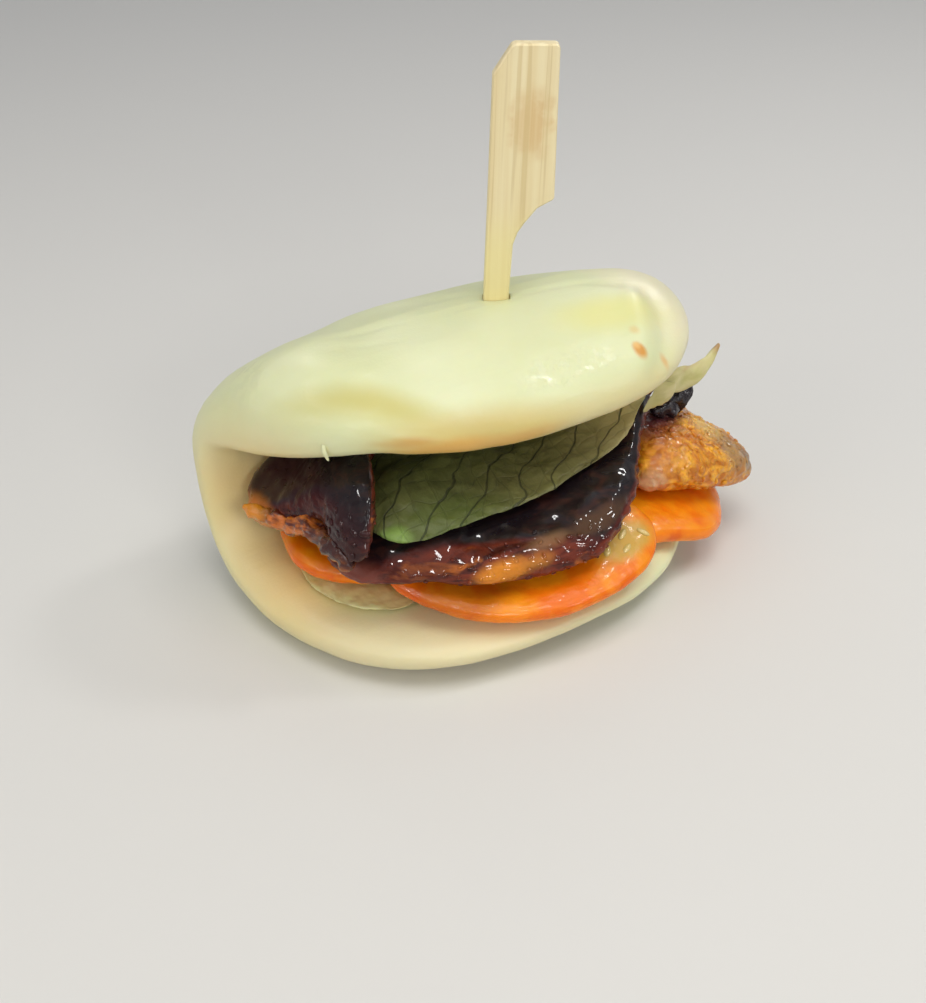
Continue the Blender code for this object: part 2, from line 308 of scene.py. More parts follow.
def stand_for(piece, node):
    """Puts a piece in the place of a solid."""
    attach(piece, "root")
    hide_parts(node)
    print(f"{piece.name}: {sum(len(f.vertices) - 2 for f in piece.data.polygons)} triangles")

# %% Floor
FLOOR_REACH, FLOOR_DROP = 3, 0.0002
floor = new_piece("floor", bpy.data.meshes.new("floor"))
floor.data.from_pydata([(x * FLOOR_REACH, y * FLOOR_REACH, 0) for x, y in
                        ((-1, -1), (1, -1), (1, 1), (-1, 1))], [], [(0, 1, 2, 3)])
paint, tree, shader = new_finish("pale_floor")
fill(tree, shader, Base_Color=(0.72, 0.71, 0.69, 1), Roughness=0.7)
dress(floor, paint)
floor.location.z = -FLOOR_DROP
print("floor:", 2 * FLOOR_REACH, "m wide")

# %% [markdown]
# ## Effects that several finishes share
# Food is never one colour.  Three small node groups are built once and used with other
# values in each material: a soft-edged spot for stains, char and painted shade and light, a
# fibre pattern for anything with a direction, and a wet, beaded unevenness for glaze and juice.

# %% Soft spot
tree, given, out = new_group(
    "soft_spot", "ShaderNodeTree",
    (("Centre", "Vector", (0, 0, 0)), ("Turn", "Vector", (0, 0, 0)),
     ("Radii", "Vector", (0.01, 0.01, 0.01)), ("Soft", "Float", 0.4),
     ("Ragged", "Float", 0.002), ("Ragged Size", "Float", 120.0)),
    (("Mask", "Float"),))
shake = mottle(tree, given["Ragged Size"], 3.0, "Color")
shake = vector_maths(tree, "SUBTRACT", shake, (0.5, 0.5, 0.5))
shake = vector_maths(tree, "SCALE", shake, given["Ragged"])
moved = vector_maths(tree, "ADD", on_piece(tree), shake)
local = step(tree, "ShaderNodeMapping", {"Vector": moved, "Location": given["Centre"],
             "Rotation": given["Turn"], "Scale": given["Radii"]}, vector_type="TEXTURE")
inner = maths(tree, "SUBTRACT", 1.0, given["Soft"])
outer = maths(tree, "ADD", 1.0, given["Soft"])
tree.links.new(spread(tree, length(tree, local), outer, inner), out["Mask"])
spot_group = tree


def spot(tree, centre, radii, soft=0.5, turn=(0, 0, 0), ragged=2.0, ragged_size=120.0):
    """A mask round a place, all in millimetres and degrees."""
    return put(tree, "ShaderNodeGroup", {
        "Centre": [c * MM for c in centre], "Radii": [r * MM for r in radii],
        "Turn": [math.radians(t) for t in turn], "Soft": soft, "Ragged": ragged * MM,
        "Ragged Size": ragged_size}, node_tree=spot_group).outputs["Mask"]


def stain_and_painted_light(tree, tone, colour, strength, *place, **edge):
    """The tone with a colour laid over it in one spot; the rest is what spot() takes."""
    return blend(tree, times(tree, spot(tree, *place, **edge), strength), tone, colour)

# %% Fibres
tree, given, out = new_group(
    "fibres", "ShaderNodeTree",
    (("Turn", "Vector", (0, 0, 0)), ("Stretch", "Vector", (1, 1, 1)),
     ("Scale", "Float", 400.0), ("Wander", "Float", 0.3)),
    (("Value", "Float"),))
along = step(tree, "ShaderNodeMapping", {"Vector": on_piece(tree), "Rotation": given["Turn"],
             "Scale": given["Stretch"]}, vector_type="TEXTURE")
lines = step(tree, "ShaderNodeTexNoise", {"Vector": along, "Scale": given["Scale"],
             "Detail": 4.0, "Distortion": given["Wander"]})
tree.links.new(lines, out["Value"])
fibre_group = tree


def fibres(tree, scale, stretch=(1, 1, 1), turn=(0, 0, 0), wander=0.3):
    """Streaks that are stretch times longer than wide, along axes turned by turn degrees."""
    return put(tree, "ShaderNodeGroup", {
        "Scale": scale, "Stretch": stretch, "Turn": [math.radians(t) for t in turn],
        "Wander": wander}, node_tree=fibre_group).outputs["Value"]

# %% Wet beads
tree, given, out = new_group(
    "wet_beads", "ShaderNodeTree",
    (("Scale", "Float", 500.0), ("Fine", "Float", 0.3)),
    (("Height", "Float"),))
cells = put(tree, "ShaderNodeTexVoronoi", {"Vector": on_piece(tree), "Scale": given["Scale"],
            "Randomness": 1.0}, feature="SMOOTH_F1").outputs["Distance"]
finer = times(tree, given["Scale"], 2.3)
small = times(tree, mottle(tree, finer, 3.0), given["Fine"])
tree.links.new(maths(tree, "SUBTRACT", small, cells), out["Height"])
bead_group = tree


def beads(tree, scale, fine=0.3):
    """Rounded wet grains, with a share of finer unevenness on top."""
    return put(tree, "ShaderNodeGroup", {"Scale": scale, "Fine": fine},
               node_tree=bead_group).outputs["Height"]


print("shared effects:", spot_group.name, fibre_group.name, bead_group.name)

# %% [markdown]
# ## The bun
# A steamed bun is one rolled oval of dough, folded over a flat tool and steamed, so it is
# thick and round at its rim, smooth and a little shiny, and its fold never opens sharply.
# It could be sculpted, but a rule keeps it even: a side view drawn as one curve from the
# lower lip round the fold to the upper lip, an oval that says how far the dough reaches at
# each place, and a thickness that rounds off towards the rim.

# %% The rule of the dough
BUN_LENGTH = 106.0  # along the fold
THICK_UPPER, THICK_LOWER, THICK_FOLD = 17.5, 12.5, 11.0
OUTER_SHARE = 0.58  # of the thickness, outside the middle of the dough
RIM_POWER = 5  # a higher power makes a blunter rim
END_DROP, LEAN = 0.01, -0.025  # how the ends sink, and how the right side leans down
FOLD_BOW_LEFT, FOLD_BOW_RIGHT = 6.0, 3.0  # how far the ends of the fold come forward
RIGHT_REACH, BACK_RISE = 1.8, 3.0  # the right end's own reach, and the hump over the fold
LIP_DROOP, LEFT_SWELL = 6.5, 0.4  # the upper lip and the thickness at the left end
# Two for a plain ellipse, more for squarer corners.
OVAL_POWER = {"upper_left": 2.45, "lower_left": 2.75, "upper_right": 2.8, "lower_right": 2.2}
# The side view, as (y, z) in millimetres from the lower lip to the upper.
LOWER_LINE = ((-36.0, 6.8), (-14.0, 6.2), (12.0, 6.6), (27.0, 12.0))
FOLD_CENTRE = (31.5, 25.0)
UPPER_LINE = ((28.0, 39.2), (12.0, 47.6), (-8.0, 49.2), (-26.0, 45.2))
BUN_RINGS, BUN_SEGMENTS = 92, 220
PROFILE_STEPS = 150  # between one point of the side view and the next


def smooth_line(points, steps):
    """A Catmull-Rom curve through all the points."""
    pts = np.array(points, float)
    pts = np.vstack([2 * pts[0] - pts[1], pts, 2 * pts[-1] - pts[-2]])
    t = np.linspace(0, 1, steps, endpoint=False)[:, None]
    runs = [0.5 * (2 * b + (c - a) * t + (2 * a - 5 * b + 4 * c - d) * t ** 2
                   + (3 * b - a - 3 * c + d) * t ** 3)
            for a, b, c, d in zip(pts, pts[1:], pts[2:], pts[3:])]
    return np.vstack([*runs, pts[-2]])


PROFILE = smooth_line((*LOWER_LINE, FOLD_CENTRE, *UPPER_LINE), PROFILE_STEPS)
ALONG = np.concatenate([[0], np.cumsum(np.linalg.norm(np.diff(PROFILE, axis=0), axis=1))])
LOWER_REACH = ALONG[PROFILE_STEPS * len(LOWER_LINE)]
UPPER_REACH = ALONG[-1] - LOWER_REACH


def ease(t):
    """A soft step from 0 to 1."""
    t = np.clip(t, 0, 1)
    return t * t * (3 - 2 * t)


def dough_middle(p, q):
    """The middle of the dough: p along the fold, q across it, up positive."""
    y = np.interp(q + LOWER_REACH, ALONG, PROFILE[:, 0])
    z = np.interp(q + LOWER_REACH, ALONG, PROFILE[:, 1])
    e = p / (BUN_LENGTH / 2)
    share = q / UPPER_REACH
    droop = LIP_DROOP * ease((-e - 0.55) / 0.45) * ease(share / 0.6)
    rise = (BACK_RISE * ease((0.7 - np.abs(e)) / 0.45) * ease(4 * share)
            * ease((0.55 - share) / 0.3))
    z = z * (1 - END_DROP * e * e * (z / 30) + LEAN * e) - droop + rise
    bow = np.where(e < 0, FOLD_BOW_LEFT, FOLD_BOW_RIGHT)
    return np.stack([p + np.where(e < 0, 0, RIGHT_REACH) * e * e, y - bow * e * e, z], -1)


def dough_normal(p, q, gap=1.2):
    """The outward direction, from places that lie a gap to each side."""
    n = np.cross(dough_middle(p, q + gap) - dough_middle(p, q - gap),
                 dough_middle(p + gap, q) - dough_middle(p - gap, q))
    return n / np.linalg.norm(n, axis=-1, keepdims=True)


def dough_thickness(p, q, rho):
    """The full thickness; rho goes from 0 at the centre to 1 at the rim."""
    flap = np.where(q > 0, THICK_UPPER, THICK_LOWER)
    share = np.minimum(np.abs(q) / np.where(q > 0, UPPER_REACH, LOWER_REACH), 1)
    mix = np.minimum(1, 2 * share * share * (3 - 2 * share))
    swell = 1 + LEFT_SWELL * ease((-2 * p / BUN_LENGTH - 0.4) / 0.5)
    full = (THICK_FOLD + (flap - THICK_FOLD) * mix) * swell
    return full * np.sqrt(np.maximum(0, 1 - rho ** RIM_POWER))


print(f"the dough reaches {LOWER_REACH:.1f} mm below the fold and {UPPER_REACH:.1f} mm above")

# %% Rings of points over both faces of the dough
def dough_grid():
    """p, q and rho for each ring but the centre, with rings closer near the rim."""
    even = np.arange(1, BUN_RINGS + 1) / BUN_RINGS
    rho = (0.25 * even + 0.75 * np.sin(math.pi / 2 * even))[:, None]
    phi = 2 * math.pi * np.arange(BUN_SEGMENTS)[None, :] / BUN_SEGMENTS
    c, s = np.cos(phi), np.sin(phi)
    half = np.where(s > 0, "upper", "lower")
    side = np.where(c < 0, "_left", "_right")
    power = np.vectorize(lambda a, b: OVAL_POWER[a + b])(half, side)
    grow = rho * (np.abs(c) ** power + np.abs(s) ** power) ** (-1 / power)
    q = np.where(s > 0, UPPER_REACH, LOWER_REACH) * grow * s
    return BUN_LENGTH / 2 * grow * c, q, rho


def shell_faces(rings, segments):
    """Two polar grids that share their rim: inner face first, then outer, then the rim."""
    def index(side, ring, seg):
        if ring == 0:
            return side
        if ring == rings:
            return 2 + 2 * (rings - 1) * segments + seg % segments
        return 2 + (side * (rings - 1) + ring - 1) * segments + seg % segments
    faces = []
    for side in (0, 1):
        for seg in range(segments):
            column = [(side, index(side, 1, seg), index(side, 1, seg + 1))]
            for ring in range(1, rings):
                column.append((index(side, ring, seg), index(side, ring + 1, seg),
                               index(side, ring + 1, seg + 1), index(side, ring, seg + 1)))
            faces += [face[::-1] if side else face for face in column]
    return faces


def dough_points():
    p, q, rho = dough_grid()
    middle, normal = dough_middle(p, q), dough_normal(p, q)
    full = dough_thickness(p, q, rho)[..., None]
    outer = middle + normal * full * OUTER_SHARE
    inner = middle - normal * full * (1 - OUTER_SHARE)
    nought = np.array([0.0])
    centre, up = dough_middle(nought, nought), dough_normal(nought, nought)
    return np.vstack([
        centre - up * THICK_FOLD * (1 - OUTER_SHARE), centre + up * THICK_FOLD * OUTER_SHARE,
        inner[:-1].reshape(-1, 3), outer[:-1].reshape(-1, 3), middle[-1]])


points = dough_points()
plain = mesh_from("plain_bun", points, shell_faces(BUN_RINGS, BUN_SEGMENTS))
low, high = (np.array(corner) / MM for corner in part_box("bun"))
SHIFT = np.array([(low[0] + high[0] - points[:, 0].min() - points[:, 0].max()) / 2,
                  high[1] - points[:, 1].max(), 0])
print("the dough's own centre sits at", SHIFT.round(2), "mm;", len(points), "points")

# %% [markdown]
# ### Soft relief of the dough
# Steamed dough has no flat places.  It swells in wide, low waves, wrinkles finely along the
# fold, and keeps soft creases where it was pressed.  The same points are moved along their
# normals by waves of noise and by a few drawn creases, so the relief is in the mesh itself.

# %% Creases and waves
CREASES = (  # depth, half width, points that it follows
    (-0.55, 3.0, ((-46, 4, 53), (-43.4, -2.1, 54.6), (-38.4, -8.5, 54.8), (-33.2, -14.1, 54.0),
                  (-26.1, -19.7, 51.8), (-16.4, -24.3, 46.6))),
    (-0.7, 2.6, ((35.1, -3.0, 55.5), (33.4, -9.5, 54.5), (30.6, -14.5, 53.2), (27.3, -19.5, 50.6),
                 (23.0, -22.4, 48.6))),
    (-0.35, 1.2, ((-34.5, -15.5, 52.4), (-31.5, -18.6, 50.4), (-26, -21.3, 49.0),
                  (-19, -23.5, 47.5))),
    (-0.3, 1.2, ((-47, 14, 51.5), (-48.5, 8, 51.5), (-47.5, 1, 51.5))),
    (0.45, 3.0, ((31.0, -4.0, 56.0), (27.6, -10.5, 55.4), (24.5, -15.5, 53.6),
                 (21.5, -20.0, 50.8))),
    (-0.32, 0.9, ((10.9, 5.1, 58.3), (17.5, 4.4, 58.0), (25.2, 3.2, 57.3), (30.5, 0.5, 56.8))),
    (-0.25, 0.8, ((-34.0, 9.0, 58.0), (-22.4, 6.5, 58.8), (-11.0, 4.5, 58.9),
                  (-2.0, 5.0, 58.6))),
    (-0.25, 0.8, ((-40.0, 6.0, 56.5), (-30.0, 1.5, 58.6), (-19.0, -1.0, 59.0))),
)
CREASE_STEPS = 8
PICK_HOLE, DIMPLE_DEPTH, DIMPLE_RADIUS = np.array([5.1, 7.9, 58.6]), 0.9, 4.0
FLAT_BELOW = 0.8  # the dough that lies on the floor stays nearly smooth


def nearest(places, line):
    """Distance from each place to a line of points."""
    best = np.full(len(places), np.inf)
    for a, b in zip(line[:-1], line[1:]):
        t = np.clip(((places - a) @ (b - a)) / ((b - a) @ (b - a)), 0, 1)
        best = np.minimum(best, np.linalg.norm(places - a - t[:, None] * (b - a), axis=1))
    return best


def waves(places, scale, stretch=(1, 1, 1)):
    """Noise between about -1 and 1, with scale waves to the millimetre."""
    return np.array([noise.noise(Vector(v)) for v in places * np.array(stretch) * scale])


points = points + SHIFT
normals = np.empty(len(points) * 3)
plain.vertices.foreach_get("normal", normals)
normals = normals.reshape(-1, 3)
relief = 0.45 * waves(points, 1 / 26) + 0.16 * waves(points + 50, 1 / 8)
relief += 0.07 * waves(points + 90, 1 / 2.6, (0.22, 1, 1))
for depth, half_width, line in CREASES:
    far = nearest(points, smooth_line(line, CREASE_STEPS))
    relief += depth * np.exp(-(far / half_width) ** 2)
far = np.linalg.norm((points - PICK_HOLE) * (1, 1, 0.5), axis=1)
relief -= DIMPLE_DEPTH * np.exp(-(far / DIMPLE_RADIUS) ** 2)
relief[points[:, 2] < FLAT_BELOW] *= 0.1
points = points + normals * relief[:, None]
points[:, 2] = np.maximum(points[:, 2], 0)
points = np.clip(points, low, high)
mesh = mesh_from("bun", points, shell_faces(BUN_RINGS, BUN_SEGMENTS))
bun = new_piece("steamed_bun", mesh)
bpy.data.meshes.remove(plain)
print("relief from", relief.min().round(2), "to", relief.max().round(2), "mm")

# %% [markdown]
# ### The hole of the pick
# The pick was pushed straight through the upper flap.  A Boolean modifier with a slim
# cutter opens the dough just a hair wider than the wood, so that a thin dark line and the
# pressed-in dimple show where it enters.

# %% Cut the hole
# Where the pick stands in plan, the way its paddle is wide and the way it faces.
PICK_FOOT, PICK_ACROSS = np.array([8.4, 7.2]), np.array([0.866, -0.5])
PICK_FACING = np.array([0.5, 0.866])
HOLE_OUTLINE = ((-4.4, 2.9), (-3.4, 2.9), (-1.4, 8.9), (2.9, 62.0), (-2.7, 62.0), (-6.2, 8.9))
HOLE_THICK = 3.3


def upright(name, outline, thick):
    """An outline (u, z) in the plane of the pick, with a thickness both ways."""
    points = []
    for side in (-thick / 2, thick / 2):
        for u, z in outline:
            x, y = PICK_FOOT + u * PICK_ACROSS + side * PICK_FACING
            points.append((x + SHIFT[0], y + SHIFT[1], z))
    count = len(outline)
    faces = [tuple(range(count)), tuple(range(count, 2 * count))]
    faces += [(k, (k + 1) % count, (k + 1) % count + count, k + count) for k in range(count)]
    return mesh_from(name, points, faces)


cutter = bpy.data.objects.new("hole", upright("hole", HOLE_OUTLINE, HOLE_THICK))
bpy.context.scene.collection.objects.link(cutter)
hole = bun.modifiers.new("hole", "BOOLEAN")
hole.operation, hole.solver, hole.object = "DIFFERENCE", "EXACT", cutter
settle(bun)
bpy.data.objects.remove(cutter)
stand_for(bun, "bun")

# %% [markdown]
# ### The finish of the dough
# Steamed dough is satin rather than glossy, lets a little light in, and is cream with a hint
# of green-yellow.  Sauce has crept along the lip as amber stains and left small spots.  The
# left end carries painted shade and warm bounce light, and the groove near the lip painted
# shade with a yellow tint of sauce.  Stains and painted light are masks laid one over
# another on a plain cream, which keeps each easy to move.

# %% Dough
dough, tree, shader = new_finish("dough")
cloud = mottle(tree, 34.0, 3.0)
tone = blend(tree, spread(tree, cloud, 0.35, 0.7), (0.70, 0.73, 0.42), (0.75, 0.78, 0.50))
for mark in (  # colour, strength, centre, radii, softness, turn
        # painted shade and warm bounce light on the left end and its inner wall
        ((0.84, 0.62, 0.27), 0.85, (-49, 0, 24), (15, 30, 21), 0.4),
        # warmer and a little darker low on the front of the lower flap
        ((0.78, 0.68, 0.42), 0.8, (-30, -28, 5), (40, 22, 9), 0.5),
        ((0.70, 0.60, 0.30), 0.8, (4, -24, 43.5), (52, 12, 5.5), 0.5),
        ((0.84, 0.77, 0.54), 0.8, (42, -2, 46), (14, 30, 20), 0.5),
        ((0.76, 0.74, 0.27), 0.8, (22, -9, 57), (12, 5, 8), 0.7),
        # the groove near the lip: painted shade of the crease, with a yellow tint of sauce
        ((0.58, 0.52, 0.15), 0.85, (-34, -14, 54.0), (15, 2.6, 7), 0.9, (0, 0, -42)),
        ((0.64, 0.50, 0.16), 0.85, (-19, -23.2, 47.5), (20, 4.2, 4.6), 0.7, (0, 0, -14)),
        ((0.66, 0.38, 0.09), 0.9, (-24, -23.0, 46.7), (11, 1.6, 1.6), 0.7, (0, 0, -20)),
        ((0.68, 0.40, 0.11), 0.85, (-11, -25.8, 45.2), (14, 2.0, 1.7), 0.8, (0, 0, -11)),
        ((0.60, 0.32, 0.07), 0.7, (-31, -20.5, 48.9), (5, 0.8, 0.9), 0.9, (0, 0, -30)),
        ((0.66, 0.30, 0.04), 1.0, (20.9, -19.4, 52.2), (1.3, 1.6, 2.4), 0.5),
        ((0.80, 0.50, 0.14), 0.8, (20.8, -18.5, 53.0), (0.6, 0.7, 0.8), 0.8),
        ((0.74, 0.54, 0.20), 0.6, (22.6, -15.2, 54.4), (1.0, 1.0, 0.8), 0.8),
        ((0.74, 0.46, 0.18), 0.8, (26.4, -20.4, 49.2), (0.7, 1.0, 2.2), 0.8)):
    tone = stain_and_painted_light(tree, tone, *mark, ragged=0.5, ragged_size=500.0)
skin = fibres(tree, 300.0, (4, 1, 1), wander=0.2)
pores = mottle(tree, 1500.0, 2.0)
damp_lip = spot(tree, (3, -19.7, 53.5), (11, 3.4, 3.2), 0.5, (0, 0, 4), 3.0, 300.0)
damp_end = spot(tree, (-47, 12, 52.5), (6, 9, 4), 0.6, (0, 0, 0), 3.0, 300.0)
damp = maths(tree, "MAXIMUM", damp_lip, times(tree, 0.35, damp_end))
puckers = times(tree, beads(tree, 420.0, 0.4), damp)
film = times(tree, spread(tree, mottle(tree, 420.0, 3.0), 0.46, 0.58), damp)
relief = bump(tree, puckers, 0.4, below=bump(tree, pores, 0.03, below=bump(tree, skin, 0.15)))
glow(shader, 0.25, (1.0, 0.7, 0.35), 0.004)
fill(tree, shader, Base_Color=tone, Roughness=spread(tree, cloud, 0.3, 0.7, 0.36, 0.5),
     Specular_IOR_Level=0.4, Coat_Weight=spread(tree, film, 0.0, 1.0, 0.05, 1.0),
     Coat_Roughness=0.2, Normal=relief)
dress(bun, dough)

# %% [markdown]
# ## The slices
# Tomato, pork and lettuce are all slices: a flat body with a rounded rim that bends over
# whatever it lies on.  Their solids already have that bend, so a Geometry Nodes tree takes
# each one, rounds it off with a subdivision surface, and pushes its skin in and out by two
# sizes of noise.  The tree also notes where the slice turns from face to cut side, as an
# attribute that the finishes read.

# %% Geometry Nodes tree of a slice
tree, given, out = new_group(
    "uneven_slice", "GeometryNodeTree",
    (("Slice", "Geometry"), ("Rounding", "Int", 3),
     ("Lump Size", "Float", 6.0), ("Lump Height", "Float", 0.5),
     ("Grain Size", "Float", 1.5), ("Grain Height", "Float", 0.1),
     ("Side Grain", "Float", 1.0), ("Seed", "Float", 0.0), ("Finish", "Material")),
    (("Slice", "Geometry"),))


def wave_field(tree, size, height, seed, detail):
    """Noise between -height and +height, in metres, for waves of a size in millimetres."""
    field = step(tree, "ShaderNodeTexNoise", {
        "Vector": step(tree, "GeometryNodeInputPosition"), "W": seed,
        "Scale": maths(tree, "DIVIDE", 1 / MM, size), "Detail": detail}, noise_dimensions="4D")
    field = maths(tree, "SUBTRACT", field, 0.5)
    # Noise keeps within a quarter of its middle, so four times as much fills the height.
    return times(tree, field, times(tree, height, 4 * MM))


rounded = step(tree, "GeometryNodeSubdivisionSurface", {
    "Mesh": given["Slice"], "Level": given["Rounding"]})
normal = step(tree, "GeometryNodeInputNormal")
upness = put(tree, "ShaderNodeSeparateXYZ", {0: normal}).outputs["Z"]
sideness = spread(tree, maths(tree, "ABSOLUTE", upness), 0.75, 0.3)
marked = step(tree, "GeometryNodeStoreNamedAttribute", {
    "Geometry": rounded, "Name": "side", "Value": sideness}, data_type="FLOAT", domain="POINT")
lumps = wave_field(tree, given["Lump Size"], given["Lump Height"], given["Seed"], 2.0)
grain = wave_field(tree, given["Grain Size"], given["Grain Height"], given["Seed"], 3.0)
side_share = step(tree, "GeometryNodeInputNamedAttribute", {"Name": "side"},
                  data_type="FLOAT")
extra = times(tree, side_share, maths(tree, "SUBTRACT", given["Side Grain"], 1.0))
height = maths(tree, "ADD", lumps, times(tree, grain, maths(tree, "ADD", 1.0, extra)))
pushed = step(tree, "GeometryNodeSetPosition", {
    "Geometry": marked, "Offset": vector_maths(tree, "SCALE", normal, height)})
smooth = step(tree, "GeometryNodeSetShadeSmooth", {"Geometry": pushed})
real = step(tree, "GeometryNodeRealizeInstances", {"Geometry": smooth})
done = step(tree, "GeometryNodeSetMaterial", {"Geometry": real, "Material": given["Finish"]})
tree.links.new(done, out["Slice"])
slice_tree = tree


def make_slice(name, node, finish, lumps, grain, seed, side_grain=1.0, rounding=3):
    """A slice in the form of its solid; lumps and grain are (size, height) in millimetres."""
    piece = new_piece(name, merged_copy(node))
    run_tree(piece, slice_tree, {
        "Lump Size": lumps[0], "Lump Height": lumps[1], "Grain Size": grain[0],
        "Grain Height": grain[1], "Seed": seed, "Side Grain": side_grain,
        "Rounding": rounding, "Finish": finish})
    stand_for(piece, node)
    return piece


def side_of(tree):
    return put(tree, "ShaderNodeAttribute", attribute_name="side",
               attribute_type="GEOMETRY").outputs["Fac"]

# %% [markdown]
# ### Glazed pork
# The pork was roasted under a sugary sauce, so its faces are nearly black and mirror-wet,
# while the cut sides stay red-brown, with lighter streaks of fat.  A clear coat over a dark
# body gives the wet look, and the streaks come from stretched noise on the sides only.

# %% Glazed pork
glaze, tree, shader = new_finish("pork_glazed")
side = side_of(tree)
meat = fibres(tree, 260.0, (2, 1, 0.42), wander=1.2)
face = blend(tree, spread(tree, meat, 0.45, 0.8), (0.010, 0.006, 0.008), (0.045, 0.014, 0.010))
face = stain_and_painted_light(tree, face, (0.030, 0.006, 0.010), 0.8, (-45, 8, 31), (9, 16, 7), 0.6,
             ragged=4.0, ragged_size=200.0)
face = stain_and_painted_light(tree, face, (0.12, 0.055, 0.022), 0.6, (2, -31, 25.4), (11, 2.2, 2), 0.7, (0, 0, 8),
             ragged=3.0, ragged_size=200.0)
lean = blend(tree, spread(tree, meat, 0.35, 0.62), (0.045, 0.007, 0.005), (0.17, 0.026, 0.010))
streaks = fibres(tree, 150.0, (1.7, 1.7, 0.67), wander=0.8)
cut_side = blend(tree, spread(tree, streaks, 0.56, 0.70), lean, (0.62, 0.17, 0.022))
strip = maths(tree, "MAXIMUM",
              spot(tree, (-24, -28.0, 22.5), (27, 4.6, 6), 0.35, (0, 0, -19), 3.0),
              spot(tree, (2, -35.0, 20.0), (12, 2.6, 3), 0.4, (0, 0, 12), 2.0))
edge = maths(tree, "MAXIMUM", side, strip)
tone = blend(tree, spread(tree, edge, 0.1, 0.6), face, (0.075, 0.010, 0.006))
tone = blend(tree, spread(tree, edge, 0.45, 1.0), tone, cut_side)
for mark in (  # colour, strength, centre, radii, softness
        ((0.62, 0.19, 0.012), 0.9, (-50.5, 9.5, 25), (3, 6, 3), 0.5),
        ((0.24, 0.070, 0.050), 0.7, (-43, -17, 21), (5, 5, 3.5), 0.5),
        ((0.72, 0.25, 0.020), 0.9, (-19.0, -31.2, 22.0), (5.6, 2.4, 2.0), 0.5),
        ((0.66, 0.26, 0.035), 0.55, (-11.5, -32.0, 22.4), (3.0, 1.8, 1.4), 0.6),
        ((0.30, 0.16, 0.07), 0.6, (-8.5, -30.4, 24.6), (4.0, 1.5, 1.1), 0.7),
        ((0.095, 0.018, 0.010), 0.75, (-33.5, -24.5, 23.5), (7, 4.5, 3), 0.6),
        ((0.020, 0.006, 0.008), 0.85, (-44.5, -16.5, 31.5), (5, 7, 5.5), 0.4),
        ((0.028, 0.006, 0.010), 0.75, (-44, -3, 32), (6, 12, 5.5), 0.6)):
    tone = stain_and_painted_light(tree, tone, *mark, ragged=1.5, ragged_size=300.0)
wet = times(tree, beads(tree, 420.0, 0.5), spread(tree, edge, 0.0, 0.8, 0.25, 1.0))
dull = spot(tree, (-42, 4, 36), (8, 14, 6), 0.5)
glow(shader, 0.1, (1.0, 0.3, 0.1), 0.003)
fill(tree, shader, Base_Color=tone, Roughness=spread(tree, meat, 0.3, 0.7, 0.25, 0.45),
     Specular_IOR_Level=0.08, Coat_Weight=spread(tree, dull, 0.0, 1.0, 0.65, 0.1),
     Coat_Roughness=0.04, Coat_IOR=1.4,
     Normal=bump(tree, wet, 0.5, below=bump(tree, meat, 0.05)))
pork_left = make_slice("pork_slice_left", "pork_left", glaze,
                       (9.0, 0.6), (2.5, 0.08), 2.0, side_grain=5.0)
pork_front = make_slice("pork_slice_front", "pork_front", glaze,
                        (10.0, 0.7), (2.6, 0.12), 5.0, side_grain=6.0)

# %% [markdown]
# ### Fat end of the pork
# The end that sticks out is mostly fat, roasted golden and covered in tiny wet blisters,
# with a charred upper edge, a pale spot low down and a grey-brown point.

# %% Golden pork
golden, tree, shader = new_finish("pork_fat")
meat = fibres(tree, 330.0, wander=1.0)
tone = blend(tree, spread(tree, meat, 0.35, 0.7), (0.54, 0.16, 0.006), (0.93, 0.43, 0.032))
for mark in (  # colour, strength, centre, radii, softness, turn
        ((0.72, 0.46, 0.27), 0.85, (24, -20, 20.5), (3.5, 4, 3), 0.5),
        ((0.66, 0.17, 0.010), 0.7, (32, -13, 25), (6, 6, 4), 0.6),
        ((0.84, 0.56, 0.20), 0.7, (46, -11, 23), (4, 4, 4), 0.6),
        ((0.36, 0.22, 0.09), 0.8, (48.5, -18, 20), (5, 6, 5), 0.6),
        ((0.26, 0.17, 0.10), 0.9, (53.0, -20, 17), (2.8, 4, 3), 0.5),
        ((0.15, 0.030, 0.025), 0.85, (31, -9, 28.5), (8, 6, 4), 0.6),
        ((0.10, 0.022, 0.036), 0.85, (38, -7.5, 28), (8, 3, 2.6), 0.6),
        ((0.012, 0.007, 0.010), 0.97, (39, 1, 29), (15, 4.5, 5), 0.35, (0, 0, -20))):
    tone = stain_and_painted_light(tree, tone, *mark, ragged=3.0, ragged_size=240.0)
wet = beads(tree, 520.0, 0.3)
glow(shader, 0.2, (1.0, 0.45, 0.12), 0.003)
fill(tree, shader, Base_Color=tone, Roughness=spread(tree, meat, 0.3, 0.7, 0.3, 0.45),
     Specular_IOR_Level=0.15, Coat_Weight=0.65, Coat_Roughness=0.03, Coat_IOR=1.5,
     Normal=bump(tree, wet, 0.8, below=bump(tree, meat, 0.1)))
pork_right = make_slice("pork_slice_right", "pork_right", golden,
                        (7.0, 0.8), (1.8, 0.3), 8.0, side_grain=1.5)

# %% [markdown]
# ### Tomato
# A ripe orange tomato, sliced across: smooth skin round the rim, a paler wall inside it, and
# wet flesh with a pocket of greenish jelly that holds the seeds.

